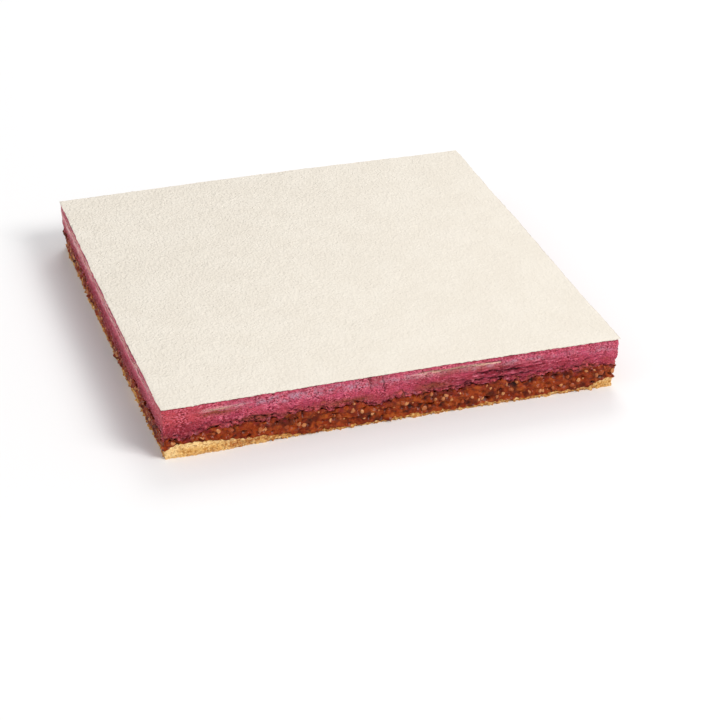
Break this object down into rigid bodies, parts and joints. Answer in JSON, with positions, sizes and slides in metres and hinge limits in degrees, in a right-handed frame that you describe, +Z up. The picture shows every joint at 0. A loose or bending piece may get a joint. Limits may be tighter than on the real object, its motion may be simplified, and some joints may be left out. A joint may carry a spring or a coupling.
{
  "type": "nougat mousse cake",
  "caption": "Square uncut tray cake: sponge base, nougat crunch with chopped nuts, berry mousse with a thin sponge in it, and a pale sprayed velvet top, standing on its flat base",
  "frame": {"origin": "on the table plane under the middle of the cake", "axes": "+Z up, front side towards -Y, left side towards -X"},
  "size_m": [0.2873, 0.2888, 0.0343],
  "materials": {
    "base_sponge": "baked golden sponge, dry and crumbly, with a pale ragged lower edge",
    "nougat_crunch": "brown caramel nougat crunch with paler chopped nuts, slightly glossy",
    "dark_mousse": "berry mousse cut with a knife, satin, with small pits and drag lines",
    "pale_sponge": "thin pale sponge, mostly smeared over with mousse at the cut sides",
    "pink_mousse": "pink berry mousse cut with a knife, satin",
    "velvet_coat": "sprayed cream white cocoa butter velvet, matte with fine bumps"
  },
  "bodies": {
    "root": {"base_sponge": "base_sponge", "crunch_layer": "nougat_crunch", "lower_mousse": "dark_mousse", "middle_sponge": "pale_sponge", "upper_mousse": "pink_mousse", "velvet_coat": "velvet_coat"}
  },
  "joints": []
}
